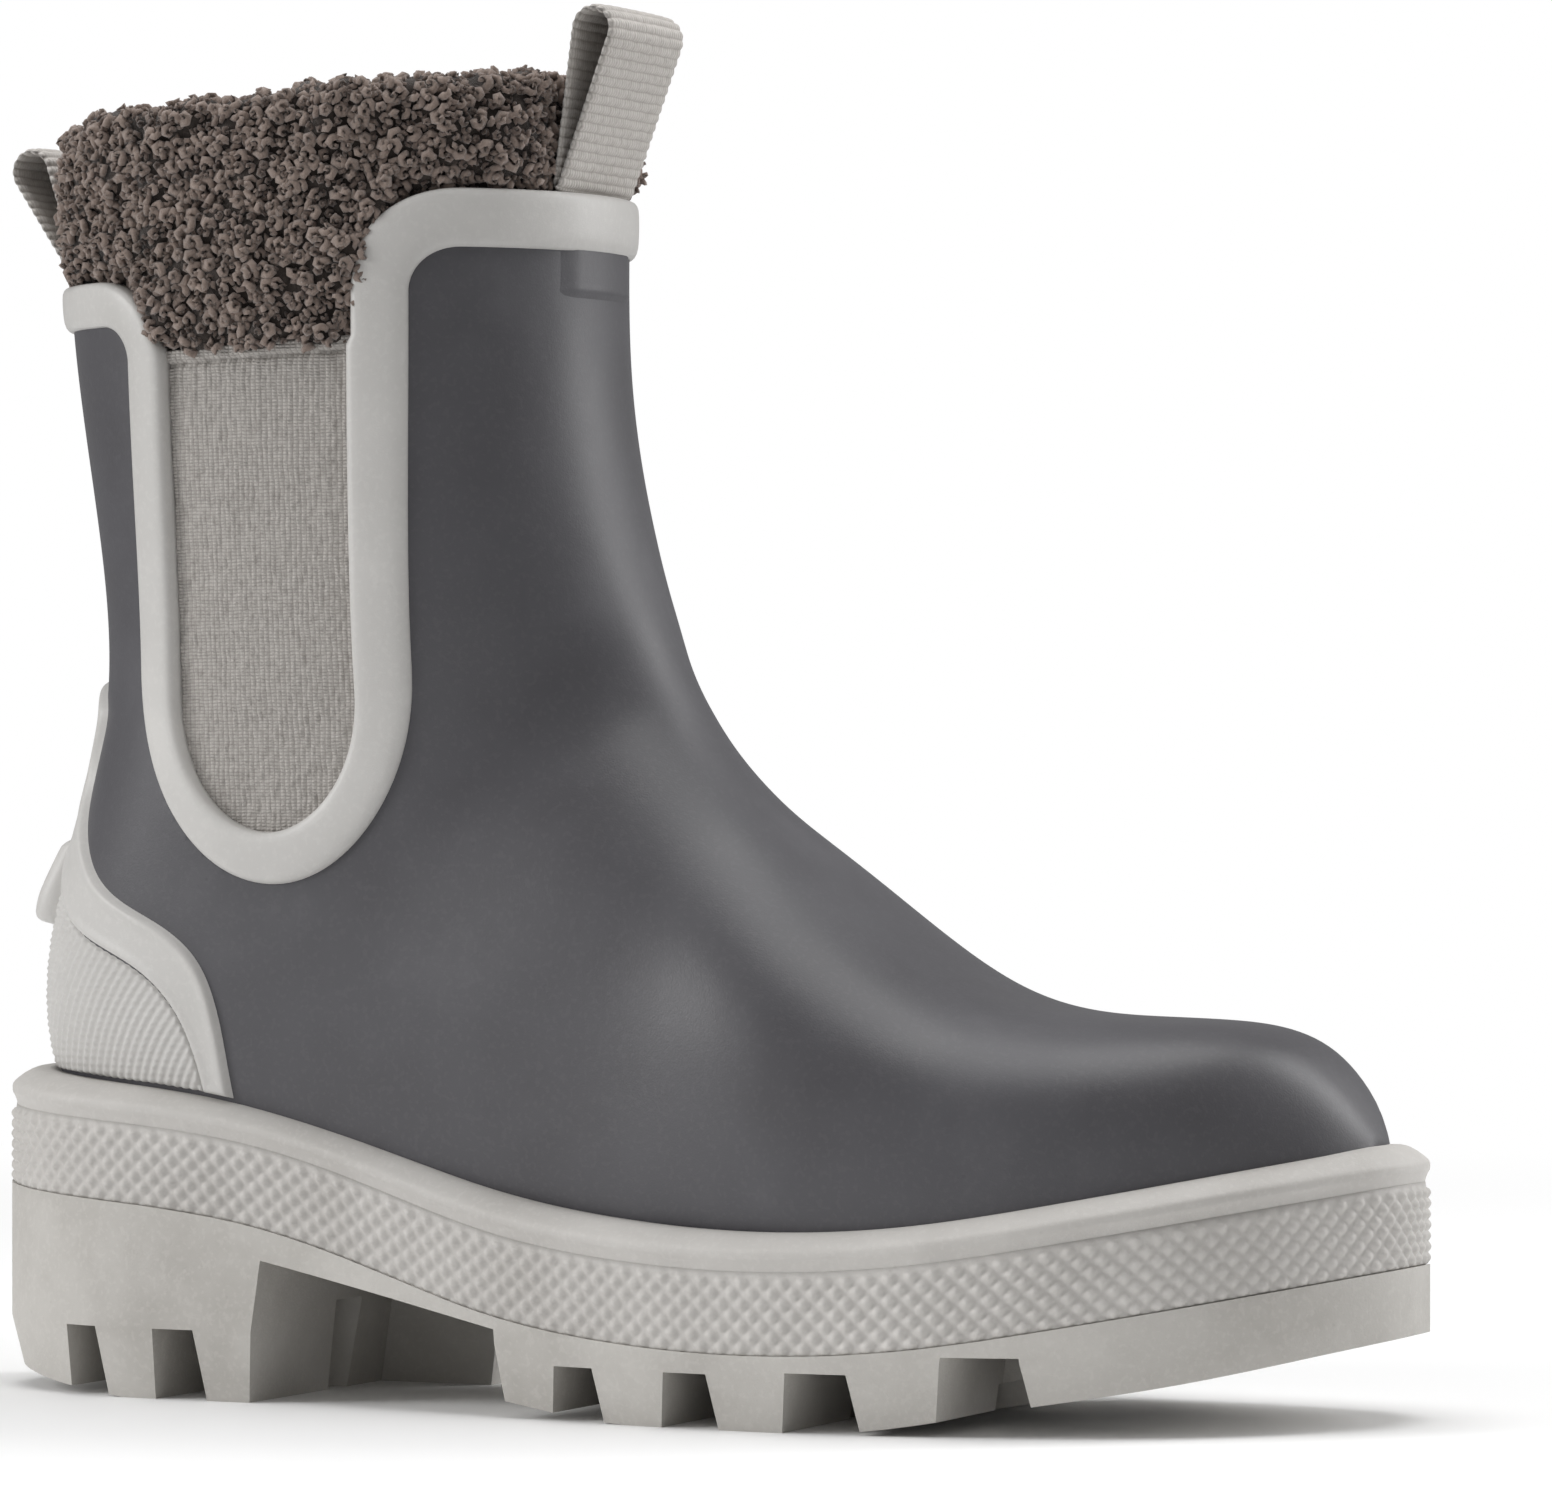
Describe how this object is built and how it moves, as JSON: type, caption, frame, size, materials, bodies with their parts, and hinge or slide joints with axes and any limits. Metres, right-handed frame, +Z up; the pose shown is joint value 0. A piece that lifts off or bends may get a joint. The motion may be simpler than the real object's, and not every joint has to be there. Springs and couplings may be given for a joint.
{
  "type": "deck boot",
  "caption": "Pull-on rubber ankle boot for the right foot, fleece lined, with elastic side gores, webbing pull tabs and a lug sole.",
  "frame": {"origin": "on the ground under the middle of the sole's outline", "axes": "+X towards the toe, +Y towards the inner side of the foot, +Z up"},
  "size_m": [0.2901, 0.1032, 0.2714],
  "materials": {
    "outsole": "matte moulded rubber",
    "sole_trim": "pale moulded rubber",
    "upper_rubber": "matte dark grey rubber",
    "pale_rubber": "satin pale grey rubber",
    "elastic": "woven elastic",
    "fleece": "curly pile fleece",
    "felt": "needled felt",
    "webbing": "ribbed woven tape",
    "thread": "polyester thread",
    "foam": "closed-cell foam",
    "board": "fibre board",
    "stiffener": "thermoformed sheet",
    "steel": "tempered spring steel"
  },
  "bodies": {
    "boot": {"outsole": "outsole", "foxing_band": "sole_trim", "welt_strip": "sole_trim", "midsole": "foam", "shank": "steel", "insole_board": "board", "footbed": "foam", "footbed_cover": "fleece", "upper_shell": "upper_rubber", "heel_guard_band": "pale_rubber", "heel_guard_panel": "pale_rubber", "kick_ledge": "pale_rubber", "lateral_collar_trim": "pale_rubber", "medial_collar_trim": "pale_rubber", "lateral_gore": "elastic", "medial_gore": "elastic", "fleece_cuff": "fleece", "shaft_lining": "fleece", "foot_lining": "felt", "toe_puff": "stiffener", "heel_counter": "stiffener", "front_tab_anchor": "webbing", "rear_tab_anchor": "webbing", "front_tab_patch": "upper_rubber", "rear_tab_patch": "upper_rubber"},
    "front_pull_tab": {"front_pull_tab": "webbing"},
    "rear_pull_tab": {"rear_pull_tab": "webbing"}
  },
  "joints": [
    {"name": "front_tab_fold", "type": "hinge", "parent": "boot", "child": "front_pull_tab", "pos_m": [-0.01929, 0, 0.23628], "axis": [0, 1, 0], "range_deg": [-3, 60], "stiffness_Nm_per_rad": 0.05},
    {"name": "rear_tab_fold", "type": "hinge", "parent": "boot", "child": "rear_pull_tab", "pos_m": [-0.12606, 0, 0.21978], "axis": [0, -1, 0], "range_deg": [-8, 48], "stiffness_Nm_per_rad": 0.05}
  ]
}
